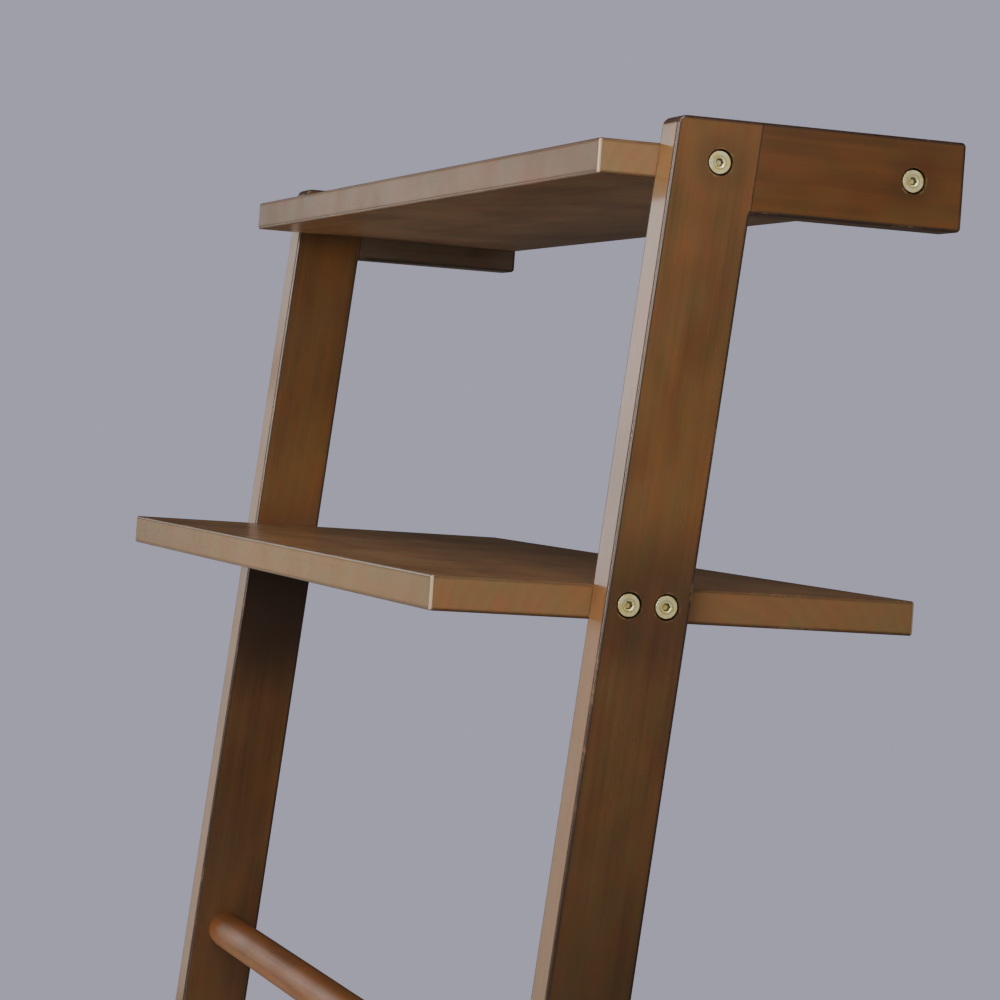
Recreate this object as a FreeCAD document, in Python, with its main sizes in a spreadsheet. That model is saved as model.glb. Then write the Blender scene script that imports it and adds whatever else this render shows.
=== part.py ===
"""Leaning ladder shelf: two side frames, two shelves and four rungs, bolted together.

Each side frame is a leaning stile with a short level arm glued and dowelled to its back edge,
so the arm ends reach the wall. The shelves and rungs sit between the stiles and are held by
socket-head bolts, which pass through the sides into threaded inserts in the wood's end grain.

The row's frame: +X to the right, +Y towards the wall, +Z up, millimetres, with the origin on the
floor at the middle of the object's outline. Lengths in the pieces' own frames are measured from
the wall (y, negative to the front), from the floor (z) and from a side's inner face (x).
"""

import FreeCAD
import Part
import Sketcher
import os

# Every driving dimension: its name in the sheet, its value in mm or degrees, and what it is.
DIMENSIONS = [
    ("overall_height", 1700, "floor to the level tops of the stiles and arms"),
    ("lean_angle", 4.9, "degrees that the stiles lean back from upright"),
    ("inner_width", 714, "between the inner faces of the two sides"),
    ("side_thickness", 23, "of stiles and arms, left to right"),
    ("stile_width", 45, "of a stile, square across its length"),
    ("stile_reach", 157, "wall to the front edge of a stile at its top"),
    ("arm_depth", 46, "height of an arm"),
    ("board_thickness", 18, "of both shelves"),
    ("top_shelf_drop", 13, "stile top down to the top shelf's upper face"),
    ("top_shelf_depth", 190, "front to back"),
    ("lower_shelf_drop", 236, "stile top down to the lower shelf's upper face"),
    ("lower_shelf_depth", 262, "front to back"),
    ("rung_diameter", 24, "of the round rungs"),
    ("rung_drop", 522, "stile top down to the first rung's centre line"),
    ("rung_pitch", 277, "from one rung to the next, measured upright"),
    ("rung_socket", 6, "depth that a rung's end is let into the stile"),
    ("top_corner", 5, "radius of a stile's front top corner"),
    ("arm_corner", 2.5, "radius of an arm's end corners"),
    ("board_corner", 2, "radius of a shelf's upright corners"),
    ("edge_radius", 1.4, "round-over along the edges of all the wood"),
    ("stile_bolt_setback", 133.5, "wall to the bolt through a stile's top"),
    ("arm_bolt_setback", 28, "wall to the bolt near an arm's end"),
    ("bolt_pair_pitch", 20, "between the two bolts that hold a lower shelf's end"),
    ("head_diameter", 12, "of a bolt's flat cylindrical head"),
    ("head_height", 4, "of the head"),
    ("head_rim", 0.7, "rounding of the head's rim"),
    ("hexagon", 4, "across the flats of the bolt's socket"),
    ("hexagon_depth", 2.6, "of the bolt's socket"),
    ("mouth_diameter", 5.4, "of the cone that leads into the socket"),
    ("mouth_depth", 0.5, "of that cone"),
    ("shank_diameter", 6, "of the bolt"),
    ("bolt_length", 35, "under the head"),
    ("clearance_diameter", 6.5, "of the bolt holes through the sides"),
    ("counterbore_diameter", 13.4, "around each bolt head"),
    ("counterbore_depth", 4.6, "around each bolt head"),
    ("insert_diameter", 10, "outside of a threaded insert, and of its hole"),
    ("insert_length", 18, "of a threaded insert"),
    ("insert_barb", 0.5, "depth of the grooves round an insert"),
    ("insert_hole_depth", 26, "drilled into the end grain"),
    ("dowel_diameter", 8, "of the pins in the glued joints"),
    ("dowel_length", 36, "half of it in the stile, half in the arm"),
    ("dowel_hole_slack", 1, "extra depth at each end of a dowel"),
    ("dowel_chamfer", 1, "on each end of a dowel"),
    ("upper_dowel_drop", 11, "stile top down to the upper dowel, at the joint"),
    ("lower_dowel_drop", 35, "stile top down to the lower dowel, at the joint"),
    ("pad_thickness", 3, "of the rubber pad under a foot"),
    ("pad_inset", 1.5, "from the foot's outline in to the pad"),
    ("pad_corner", 2, "radius of the pad's corners"),
]

RUNG_COUNT = 4
SIDES = {"left": -1, "right": 1}

# Expressions that several pieces share. Horizontal places are measured from the wall.
HEIGHT = "dims.overall_height"
STILE_RUN = "dims.stile_width / cos(dims.lean_angle)"
WALL_Y = "(dims.stile_reach + (dims.overall_height - dims.pad_thickness) * tan(dims.lean_angle)) / 2"


def stile_front(height):
    """Where a stile's front edge is at a height above the floor."""
    return f"-dims.stile_reach - (dims.overall_height - ({height})) * tan(dims.lean_angle)"


def stile_back(height):
    """Where a stile's back edge is at a height above the floor."""
    return f"{stile_front(height)} + {STILE_RUN}"


def stile_middle(height):
    """Where a stile's centre line is at a height above the floor."""
    return f"{stile_front(height)} + {STILE_RUN} / 2"


def shelf_middle(drop):
    """The height of the centre of a board whose upper face is this far below the stile tops."""
    return f"{HEIGHT} - {drop} - dims.board_thickness / 2"


def rung_height(index):
    """The height of a rung's centre line, counted from the top."""
    return f"{HEIGHT} - dims.rung_drop - {index} * dims.rung_pitch"


TOP_BOLTS = [
    ("-dims.stile_bolt_setback", shelf_middle("dims.top_shelf_drop")),
    ("-dims.arm_bolt_setback", shelf_middle("dims.top_shelf_drop")),
]
LOWER_BOLTS = [
    (
        f"{stile_middle(shelf_middle('dims.lower_shelf_drop'))} {sign} dims.bolt_pair_pitch / 2",
        shelf_middle("dims.lower_shelf_drop"),
    )
    for sign in "-+"
]
RUNG_CENTRES = [(stile_middle(rung_height(i)), rung_height(i)) for i in range(RUNG_COUNT)]


def make_sheet(document):
    """The spreadsheet that drives every piece: name, value and meaning in each row."""
    sheet = document.addObject("Spreadsheet::Sheet", "dims")
    for row, (name, value, meaning) in enumerate(DIMENSIONS, start=1):
        sheet.set(f"A{row}", name)
        sheet.set(f"B{row}", str(value))
        sheet.setAlias(f"B{row}", name)
        sheet.set(f"C{row}", meaning)
    document.recompute()


def new_body(name):
    body = doc.addObject("PartDesign::Body", name)
    body.Label = name
    return body


def origin_plane(body, role):
    """One of the body's own origin planes, such as YZ_Plane."""
    return next(item for item in body.Origin.OriginFeatures if item.Role == role)


def new_sketch(body, name, role, offset="0"):
    """An empty sketch on one of the body's origin planes, moved along the plane's normal."""
    sketch = body.newObject("Sketcher::SketchObject", name)
    sketch.AttachmentSupport = (origin_plane(body, role), [""])
    sketch.MapMode = "FlatFace"
    sketch.setExpression("AttachmentOffset.Base.z", offset)
    return sketch


def place_point(sketch, geometry, point, place):
    """Holds one point of a sketch at a pair of expressions measured from the sketch's origin."""
    for kind, axis, expression in zip(("DistanceX", "DistanceY"), (-2, -1), place):
        if expression == "0":
            sketch.addConstraint(Sketcher.Constraint("PointOnObject", geometry, point, axis))
            continue
        size = sketch.evalExpression(expression)
        index = sketch.addConstraint(Sketcher.Constraint(kind, -1, 1, geometry, point, size))
        bind_constraint(sketch, index, expression)


def bind_constraint(sketch, index, expression):
    name = f"size_{index}"
    sketch.renameConstraint(index, name)
    sketch.setExpression(f"Constraints.{name}", expression)


def draw_outline(sketch, corners):
    """A closed outline of straight lines between corners given as pairs of expressions."""
    places = [FreeCAD.Vector(*map(sketch.evalExpression, corner), 0) for corner in corners]
    lines = [
        sketch.addGeometry(Part.LineSegment(start, end), False)
        for start, end in zip(places, places[1:] + places[:1])
    ]
    for line, following in zip(lines, lines[1:] + lines[:1]):
        sketch.addConstraint(Sketcher.Constraint("Coincident", line, 2, following, 1))
    for line, corner in zip(lines, corners):
        place_point(sketch, line, 1, corner)


def draw_circles(sketch, centres, diameter):
    """Circles of one diameter, with their centres given as pairs of expressions."""
    size = sketch.evalExpression(diameter)
    for centre in centres:
        middle = FreeCAD.Vector(*map(sketch.evalExpression, centre), 0)
        circle = sketch.addGeometry(Part.Circle(middle, FreeCAD.Vector(0, 0, 1), size / 2), False)
        place_point(sketch, circle, 3, centre)
        index = sketch.addConstraint(Sketcher.Constraint("Diameter", circle, size))
        bind_constraint(sketch, index, diameter)


def pad(body, sketch, length, reverse=False, midplane=False):
    """Adds the sketch's area, drawn out to a length."""
    feature = body.newObject("PartDesign::Pad", sketch.Name + "_pad")
    feature.Profile = sketch
    feature.setExpression("Length", length)
    feature.Reversed = reverse
    feature.Midplane = midplane
    doc.recompute()
    return feature


def cut(body, sketch, depth=None, reverse=False):
    """Cuts the sketch's area to a depth, or right through both ways, and makes sure it cut."""
    before = body.Shape.Volume
    feature = body.newObject("PartDesign::Pocket", sketch.Name + "_cut")
    feature.Profile = sketch
    feature.Reversed = reverse
    if depth:
        feature.setExpression("Length", depth)
    else:
        feature.Type = "ThroughAll"
        feature.Midplane = True
    doc.recompute()
    if body.Shape.Volume >= before:
        raise RuntimeError(f"{body.Label}: {feature.Name} cut nothing")
    return feature


def turn_away(body, sketch):
    """Cuts the sketch's area, turned right round the sketch's upright axis, and makes sure it cut."""
    before = body.Shape.Volume
    feature = body.newObject("PartDesign::Groove", sketch.Name + "_turned")
    feature.Profile = sketch
    feature.ReferenceAxis = (sketch, ["V_Axis"])
    feature.Angle = 360
    doc.recompute()
    if body.Shape.Volume >= before:
        raise RuntimeError(f"{body.Label}: {feature.Name} cut nothing")


def round_edges(body, name, radius, wanted):
    """Rounds the edges of the body's last feature that the test wants."""
    base = body.Tip
    edges = [f"Edge{n}" for n, edge in enumerate(base.Shape.Edges, start=1) if wanted(edge)]
    feature = body.newObject("PartDesign::Fillet", name)
    feature.Base = (base, edges)
    feature.setExpression("Radius", radius)
    doc.recompute()


def bevel_edges(body, name, size, wanted):
    """Chamfers the edges of the body's last feature that the test wants."""
    base = body.Tip
    edges = [f"Edge{n}" for n, edge in enumerate(base.Shape.Edges, start=1) if wanted(edge)]
    feature = body.newObject("PartDesign::Chamfer", name)
    feature.Base = (base, edges)
    feature.setExpression("Size", size)
    doc.recompute()


def at(edge, **places):
    """Whether every point of an edge lies at the given coordinates, such as x=0."""
    ends = [edge.valueAt(edge.FirstParameter), edge.valueAt(edge.LastParameter), edge.CenterOfMass]
    return all(abs(getattr(end, axis) - place) < 1e-4 for end in ends for axis, place in places.items())


def size(name):
    """A driving dimension's number, for finding edges and faces."""
    return doc.dims.get(name)


def frame_blank(body, side):
    """A stile and its arm as glued up: one outline, with its edges rounded over in one pass."""
    arm_bottom = f"{HEIGHT} - dims.arm_depth"
    foot = "dims.pad_thickness"
    sketch = new_sketch(body, f"{body.Label}_outline", "YZ_Plane")
    draw_outline(
        sketch,
        [
            (stile_front(foot), foot),
            (stile_back(foot), foot),
            (stile_back(arm_bottom), arm_bottom),
            ("0", arm_bottom),
            ("0", HEIGHT),
            (stile_front(HEIGHT), HEIGHT),
        ],
    )
    pad(body, sketch, "dims.side_thickness", reverse=side < 0)
    top = size("overall_height")
    under = top - size("arm_depth")
    front = -size("stile_reach")
    round_edges(body, f"{body.Label}_top_corner", "dims.top_corner", lambda e: at(e, y=front, z=top))
    round_edges(
        body,
        f"{body.Label}_arm_corners",
        "dims.arm_corner",
        lambda e: at(e, y=0, z=top) or at(e, y=0, z=under),
    )
    faces = (0, side * size("side_thickness"))
    sole = size("pad_thickness")
    round_edges(
        body,
        f"{body.Label}_round_over",
        "dims.edge_radius",
        lambda e: any(at(e, x=face) for face in faces) and not at(e, z=sole),
    )


def split_blank(body, keep):
    """Leaves only the stile or only the arm of a side frame, cut along the stile's back edge."""
    above = f"{HEIGHT} + dims.arm_depth"
    beyond = "dims.stile_reach" if keep == "stile" else "-dims.stile_reach - dims.overall_height"
    below = f"{HEIGHT} - 2 * dims.arm_depth" if keep == "stile" else "-dims.arm_depth"
    sketch = new_sketch(body, f"{body.Label}_other_piece", "YZ_Plane")
    draw_outline(
        sketch,
        [(stile_back(below), below), (stile_back(above), above), (beyond, above), (beyond, below)],
    )
    cut(body, sketch)


def drill_bolt_holes(body, side, name, centres):
    """Counterbored clearance holes from the outer face, right through."""
    outer = f"{side} * dims.side_thickness"
    for part, diameter, depth in (
        ("counterbores", "dims.counterbore_diameter", "dims.counterbore_depth"),
        ("clearance", "dims.clearance_diameter", "dims.side_thickness"),
    ):
        sketch = new_sketch(body, f"{body.Label}_{name}_{part}", "YZ_Plane", outer)
        draw_circles(sketch, centres, diameter)
        cut(body, sketch, depth, reverse=side < 0)


def dowel_start(drop, back):
    """A point on a dowel's axis, this far in front of the glued joint: its y and z expressions."""
    height = f"{HEIGHT} - {drop}"
    return (
        f"{stile_back(height)} - ({back}) * cos(dims.lean_angle)",
        f"{height} + ({back}) * sin(dims.lean_angle)",
    )


def square_to_joint():
    """Turns a piece made along +Z so that it points into the arm, square to the glued joint."""
    return FreeCAD.Rotation(FreeCAD.Vector(-1, 0, 0), 90 + size("lean_angle"))


def drill_dowel_holes(body, side):
    """The dowel holes, square to the glued joint and centred in the wood's thickness."""
    reach = "dims.dowel_length / 2 + dims.dowel_hole_slack"
    for name in ("upper", "lower"):
        before = body.Shape.Volume
        hole = body.newObject("PartDesign::SubtractiveCylinder", f"{body.Label}_{name}_dowel_hole")
        hole.AttachmentSupport = (origin_plane(body, "XY_Plane"), [""])
        hole.MapMode = "FlatFace"
        hole.AttachmentOffset = FreeCAD.Placement(FreeCAD.Vector(), square_to_joint())
        hole.setExpression("AttachmentOffset.Rotation.Angle", "90 + dims.lean_angle")
        along, up = dowel_start(f"dims.{name}_dowel_drop", reach)
        hole.setExpression("AttachmentOffset.Base.x", f"{side} * dims.side_thickness / 2")
        hole.setExpression("AttachmentOffset.Base.y", along)
        hole.setExpression("AttachmentOffset.Base.z", up)
        hole.setExpression("Radius", "dims.dowel_diameter / 2")
        hole.setExpression("Height", f"2 * ({reach})")
        doc.recompute()
        if body.Shape.Volume >= before:
            raise RuntimeError(f"{body.Label}: {hole.Name} cut nothing")


def place(body, x, y, z, rotation=None):
    """Puts a body in the row's frame, its y measured from the wall."""
    if rotation:
        body.Placement = FreeCAD.Placement(FreeCAD.Vector(), rotation)
    body.setExpression("Placement.Base.x", x)
    body.setExpression("Placement.Base.y", f"{WALL_Y} + {y}")
    body.setExpression("Placement.Base.z", z)


def make_stile(name, side):
    """The leaning upright: bolt holes on its centre line and a shallow socket for each rung."""
    body = new_body(name)
    frame_blank(body, side)
    split_blank(body, "stile")
    drill_bolt_holes(body, side, "shelf", TOP_BOLTS[:1] + LOWER_BOLTS)
    drill_bolt_holes(body, side, "rung", RUNG_CENTRES)
    sketch = new_sketch(body, f"{name}_sockets", "YZ_Plane")
    draw_circles(sketch, RUNG_CENTRES, "dims.rung_diameter")
    cut(body, sketch, "dims.rung_socket", reverse=side > 0)
    drill_dowel_holes(body, side)
    place(body, f"{side} * dims.inner_width / 2", "0", "0")
    return body


def make_arm(name, side):
    """The short level arm that reaches back from the stile's top to the wall."""
    body = new_body(name)
    frame_blank(body, side)
    split_blank(body, "arm")
    drill_bolt_holes(body, side, "shelf", TOP_BOLTS[1:])
    drill_dowel_holes(body, side)
    place(body, f"{side} * dims.inner_width / 2", "0", "0")
    return body


def make_dowel(name, side, level):
    """A beech pin in the glued joint between stile and arm."""
    body = new_body(name)
    sketch = new_sketch(body, f"{name}_round", "XY_Plane")
    draw_circles(sketch, [("0", "0")], "dims.dowel_diameter")
    pad(body, sketch, "dims.dowel_length")
    bevel_edges(body, f"{name}_ends", "dims.dowel_chamfer", lambda e: isinstance(e.Curve, Part.Circle))
    along, up = dowel_start(f"dims.{level}_dowel_drop", "dims.dowel_length / 2")
    middle = f"{side} * (dims.inner_width + dims.side_thickness) / 2"
    place(body, middle, along, up, square_to_joint())
    body.setExpression("Placement.Rotation.Angle", "90 + dims.lean_angle")
    return body


def drill_insert_holes(body, half_length, centres):
    """Holes for the threaded inserts in one end, and the same mirrored in the other."""
    sketch = new_sketch(body, f"{body.Label}_inserts", "YZ_Plane", half_length)
    draw_circles(sketch, centres, "dims.insert_diameter")
    holes = cut(body, sketch, "dims.insert_hole_depth")
    one_end = body.Shape.Volume
    mirror = body.newObject("PartDesign::Mirrored", f"{body.Label}_other_end")
    mirror.Originals = [holes]
    mirror.MirrorPlane = (origin_plane(body, "YZ_Plane"), [""])
    body.Tip = mirror
    doc.recompute()
    if body.Shape.Volume >= one_end:
        raise RuntimeError(f"{body.Label}: the mirrored insert holes cut nothing")


def make_shelf(name, drop, depth, bolts):
    """A board between the sides, its back edge at the wall and its ends against their inner faces."""
    body = new_body(name)
    half = "dims.inner_width / 2"
    sketch = new_sketch(body, f"{name}_outline", "XY_Plane")
    front = f"-{depth}"
    draw_outline(sketch, [(f"-{half}", "0"), (f"-{half}", front), (half, front), (half, "0")])
    pad(body, sketch, "dims.board_thickness")
    thick = size("board_thickness")
    upright = {0, -sketch.evalExpression(depth)}
    end = size("inner_width") / 2
    round_edges(
        body,
        f"{name}_corners",
        "dims.board_corner",
        lambda e: any(at(e, x=x, y=y) for x in (-end, end) for y in upright),
    )
    round_edges(body, f"{name}_round_over", "dims.edge_radius", lambda e: at(e, z=0) or at(e, z=thick))
    underside = f"{HEIGHT} - {drop} - dims.board_thickness"
    centres = [(y, "dims.board_thickness / 2") for y, _ in bolts]
    drill_insert_holes(body, half, centres)
    place(body, "0", "0", underside)
    return body


def make_rung(name, index):
    """A turned rung, let into a socket in each stile."""
    body = new_body(name)
    sketch = new_sketch(body, f"{name}_round", "YZ_Plane")
    draw_circles(sketch, [("0", "0")], "dims.rung_diameter")
    half = "(dims.inner_width / 2 + dims.rung_socket)"
    pad(body, sketch, f"2 * {half}", midplane=True)
    drill_insert_holes(body, half, [("0", "0")])
    along, up = RUNG_CENTRES[index]
    place(body, "0", along, up)
    return body


def facing(side):
    """Turns a piece made along +Z so that it points out of the left or right side."""
    return FreeCAD.Rotation(FreeCAD.Vector(0, 1, 0), 90 * side)


def make_bolt(name, side, centre):
    """A flat-headed bolt with a hexagon socket, pointing out of its side of the shelf."""
    body = new_body(name)
    shank = new_sketch(body, f"{name}_shank", "XY_Plane")
    draw_circles(shank, [("0", "0")], "dims.shank_diameter")
    pad(body, shank, "dims.bolt_length", reverse=True)
    tip = -size("bolt_length")
    bevel_edges(body, f"{name}_tip", "dims.head_rim", lambda e: at(e, z=tip))
    head = new_sketch(body, f"{name}_head", "XY_Plane")
    draw_circles(head, [("0", "0")], "dims.head_diameter")
    pad(body, head, "dims.head_height")
    top = size("head_height")
    round_edges(body, f"{name}_rim", "dims.head_rim", lambda e: at(e, z=top))
    socket = new_sketch(body, f"{name}_hexagon", "XY_Plane", "dims.head_height")
    corner = "dims.hexagon / 2 / cos(30)"
    draw_outline(
        socket,
        [(f"{corner} * cos({angle})", f"{corner} * sin({angle})") for angle in range(30, 390, 60)],
    )
    cut(body, socket, "dims.hexagon_depth")
    mouth = new_sketch(body, f"{name}_mouth", "XZ_Plane")
    floor = "dims.head_height - dims.mouth_depth"
    face = "dims.head_height"
    draw_outline(
        mouth, [("0", face), ("dims.mouth_diameter / 2", face), ("dims.hexagon / 2", floor), ("0", floor)]
    )
    turn_away(body, mouth)
    bearing = "dims.inner_width / 2 + dims.side_thickness - dims.counterbore_depth"
    along, up = centre
    place(body, f"{side} * ({bearing})", along, up, facing(side))
    return body


def make_insert(name, side, centre, sunk="0"):
    """A threaded insert with grooves round it, flush with the end of its board or rung."""
    body = new_body(name)
    outside = new_sketch(body, f"{name}_outside", "XY_Plane")
    draw_circles(outside, [("0", "0")], "dims.insert_diameter")
    pad(body, outside, "dims.insert_length", reverse=True)
    bore = new_sketch(body, f"{name}_bore", "XY_Plane")
    draw_circles(bore, [("0", "0")], "dims.shank_diameter")
    cut(body, bore)
    grooves = new_sketch(body, f"{name}_grooves", "XZ_Plane")
    inner = "dims.insert_diameter / 2 - dims.insert_barb"
    outer = "dims.insert_diameter / 2 + dims.insert_barb"
    for share in (0.25, 0.5, 0.75):
        low = f"-dims.insert_length * {share} - dims.insert_barb"
        high = f"-dims.insert_length * {share} + dims.insert_barb"
        draw_outline(grooves, [(inner, low), (outer, low), (outer, high), (inner, high)])
    turn_away(body, grooves)
    along, up = centre
    place(body, f"{side} * (dims.inner_width / 2 + {sunk})", along, up, facing(side))
    return body


def make_foot_pad(name, side):
    """A thin rubber pad stuck under the foot, so that it doesn't slip or mark the floor."""
    body = new_body(name)
    sketch = new_sketch(body, f"{name}_outline", "XY_Plane")
    foot = "dims.pad_thickness"
    near = "dims.pad_inset"
    far = "dims.side_thickness - dims.pad_inset"
    front = f"{stile_front(foot)} + dims.pad_inset"
    back = f"{stile_back(foot)} - dims.pad_inset"
    inner, outer = (near, far) if side > 0 else (f"-({near})", f"-({far})")
    draw_outline(sketch, [(inner, front), (outer, front), (outer, back), (inner, back)])
    pad(body, sketch, "dims.pad_thickness")
    round_edges(
        body,
        f"{name}_corners",
        "dims.pad_corner",
        lambda e: abs(e.tangentAt(e.FirstParameter).z) > 0.9,
    )
    place(body, f"{side} * dims.inner_width / 2", "0", "0")
    return body


def make_pieces():
    """Every piece of the shelf, in the order in which it goes together."""
    pieces = []
    for word, side in SIDES.items():
        pieces.append(make_stile(f"{word}_stile", side))
        pieces.append(make_arm(f"{word}_arm", side))
        for level in ("upper", "lower"):
            pieces.append(make_dowel(f"{word}_{level}_dowel", side, level))
        pieces.append(make_foot_pad(f"{word}_foot_pad", side))
    pieces.append(make_shelf("top_shelf", "dims.top_shelf_drop", "dims.top_shelf_depth", TOP_BOLTS))
    pieces.append(make_shelf("lower_shelf", "dims.lower_shelf_drop", "dims.lower_shelf_depth", LOWER_BOLTS))
    for index in range(RUNG_COUNT):
        pieces.append(make_rung(f"rung_{index + 1}", index))
    fixings = [("top_shelf_front", TOP_BOLTS[0], "0"), ("top_shelf_back", TOP_BOLTS[1], "0")]
    fixings += [("lower_shelf_front", LOWER_BOLTS[0], "0"), ("lower_shelf_back", LOWER_BOLTS[1], "0")]
    fixings += [(f"rung_{i + 1}", centre, "dims.rung_socket") for i, centre in enumerate(RUNG_CENTRES)]
    for word, side in SIDES.items():
        for where, centre, sunk in fixings:
            pieces.append(make_insert(f"{word}_{where}_insert", side, centre, sunk))
            pieces.append(make_bolt(f"{word}_{where}_bolt", side, centre))
    return pieces


def check(document, pieces):
    """Stops if any object failed to compute or any piece isn't one valid solid."""
    for item in document.Objects:
        if {"Invalid", "Error"} & set(item.State):
            raise RuntimeError(f"{item.Label} failed: {item.State}")
    for piece in pieces:
        shape = piece.Shape
        if shape.isNull() or not shape.isValid() or len(shape.Solids) != 1:
            raise RuntimeError(f"{piece.Label} isn't one valid solid")


doc = FreeCAD.newDocument("ladder_shelf")
make_sheet(doc)
all_pieces = make_pieces()
doc.recompute()
check(doc, all_pieces)
os.makedirs("parts", exist_ok=True)
for finished in all_pieces:
    finished.Shape.exportStep(f"parts/{finished.Label}.step")
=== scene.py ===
from math import atan, cos, radians, sin

import bmesh
import bpy
from mathutils import Matrix, Vector


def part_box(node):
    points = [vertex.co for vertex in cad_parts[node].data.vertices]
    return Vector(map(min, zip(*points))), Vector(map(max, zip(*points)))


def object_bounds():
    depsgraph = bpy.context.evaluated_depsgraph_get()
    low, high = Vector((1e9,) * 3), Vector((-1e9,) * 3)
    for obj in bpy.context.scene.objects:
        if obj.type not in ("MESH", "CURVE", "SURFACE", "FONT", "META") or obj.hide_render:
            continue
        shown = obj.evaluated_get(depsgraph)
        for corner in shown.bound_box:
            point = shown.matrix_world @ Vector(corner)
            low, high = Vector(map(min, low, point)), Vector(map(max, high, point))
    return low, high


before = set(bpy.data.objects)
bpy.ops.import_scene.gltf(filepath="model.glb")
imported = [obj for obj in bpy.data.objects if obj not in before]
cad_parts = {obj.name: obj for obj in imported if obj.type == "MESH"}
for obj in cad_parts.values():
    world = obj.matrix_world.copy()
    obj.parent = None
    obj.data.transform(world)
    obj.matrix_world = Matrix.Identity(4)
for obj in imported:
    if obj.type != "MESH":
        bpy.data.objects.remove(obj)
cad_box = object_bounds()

# ---------------------------------------------------------------------------------------------
# Stiles. Two leaning uprights of plain hardwood, planed, rounded over along every outer edge,
# stained dark walnut and sprayed with satin varnish. They stand on pads and are bolted to every
# board and rung. Their round-overs are painted near-black beside a glossy strip, a painted shade
# line, and their bolt holes are painted dark, with painted shade about them.
# ---------------------------------------------------------------------------------------------
STAIN_DARK = (0.046, 0.0175, 0.0062, 1)
STAIN_MIDDLE = (0.092, 0.0390, 0.0140, 1)
STAIN_LIGHT = (0.150, 0.0700, 0.0270, 1)
DARK_STAIN_AND_SHADE = (0.020, 0.0085, 0.0042, 1)
CUT_END = (0.212, 0.1100, 0.0368, 1)
STILE_EDGE = (0.196, 0.0940, 0.0290, 1)
BARE_WOOD = (0.330, 0.1900, 0.0950, 1)
CORNER_HIGHLIGHT = (0.520, 0.3900, 0.2600, 1)
STAIN_COOL = (0.920, 1.0600, 0.9900, 1)
STAIN_WARM = (1.110, 0.9300, 0.8800, 1)
STILE_WIDTH = 0.045
HOLE_RADIUS = 0.0067
RINGS_PER_METRE = 140.0
EDGE_REACH = 0.0023
TOP_EDGE = 0.0010
HOLE_SHADE_REACH = 0.014
HOLE_BLUR = 0.0002
RIM_GLINT_START = 0.0003
RIM_GLINT_FADE = 0.0005
RIM_GLINT_END = 0.0011
SEAM_DARK = 0.00015
SEAM_WIDTH = 0.00055
SEAM_MARGIN = 0.0030
SEAM_MARGIN_END = 0.0045
WOOD_RELIEF = 0.00012


def add_node(tree, kind, settings=None, inputs=None):
    """A shader node with its settings made, and its inputs set or linked."""
    made = tree.nodes.new("ShaderNode" + kind)
    for name, value in (settings or {}).items():
        setattr(made, name, value)
    for name, value in (inputs or {}).items():
        if isinstance(value, bpy.types.NodeSocket):
            tree.links.new(value, made.inputs[name])
        else:
            made.inputs[name].default_value = value
    return made


def work_out(tree, operation, first, second=0.0, third=0.0):
    """One step of arithmetic on numbers."""
    return add_node(tree, "Math", {"operation": operation}, {0: first, 1: second, 2: third}).outputs[0]


def work_out_vector(tree, operation, first, second=(0.0, 0.0, 0.0)):
    """One step of arithmetic on vectors."""
    made = add_node(tree, "VectorMath", {"operation": operation}, {0: first, 1: second})
    return made.outputs["Value" if operation in ("LENGTH", "DOT_PRODUCT") else "Vector"]


def spread(tree, value, low, high, to_low=0.0, to_high=1.0):
    """Spreads the stretch from low to high over a new range, smoothly and with its ends held."""
    settings = {"interpolation_type": "SMOOTHSTEP"}
    inputs = {"Value": value, "From Min": low, "From Max": high, "To Min": to_low, "To Max": to_high}
    return add_node(tree, "MapRange", settings, inputs).outputs["Result"]


def cloud(tree, place, patches, detail=2.0, roughness=0.5):
    """Soft noise about one half, with so many patches to the metre along each axis."""
    stretched = work_out_vector(tree, "MULTIPLY", place, patches)
    inputs = {"Vector": stretched, "Scale": 1.0, "Detail": detail, "Roughness": roughness}
    return add_node(tree, "TexNoise", None, inputs).outputs["Fac"]


def lay_over(tree, share, under, over, way="MIX"):
    """One colour laid over another."""
    mix = add_node(tree, "Mix", {"data_type": "RGBA", "blend_type": way})
    given = {"Factor_Float": share, "A_Color": under, "B_Color": over}
    for socket in mix.inputs:
        value = given.get(socket.identifier)
        if isinstance(value, bpy.types.NodeSocket):
            tree.links.new(value, socket)
        elif value is not None:
            socket.default_value = value
    return next(socket for socket in mix.outputs if socket.identifier == "Result_Color")


def new_group(name, inputs, outputs):
    """An empty shader group with its named inputs and outputs, and the nodes that hold them."""
    tree = bpy.data.node_groups.new(name, "ShaderNodeTree")
    for title, kind in inputs.items():
        tree.interface.new_socket(title, in_out="INPUT", socket_type="NodeSocket" + kind)
    for title, kind in outputs.items():
        tree.interface.new_socket(title, in_out="OUTPUT", socket_type="NodeSocket" + kind)
    return tree, tree.nodes.new("NodeGroupInput").outputs, tree.nodes.new("NodeGroupOutput").inputs


def place_group(tree, group, inputs):
    """A shader group set down in a material with its own values."""
    return add_node(tree, "Group", {"node_tree": group}, inputs).outputs


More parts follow.
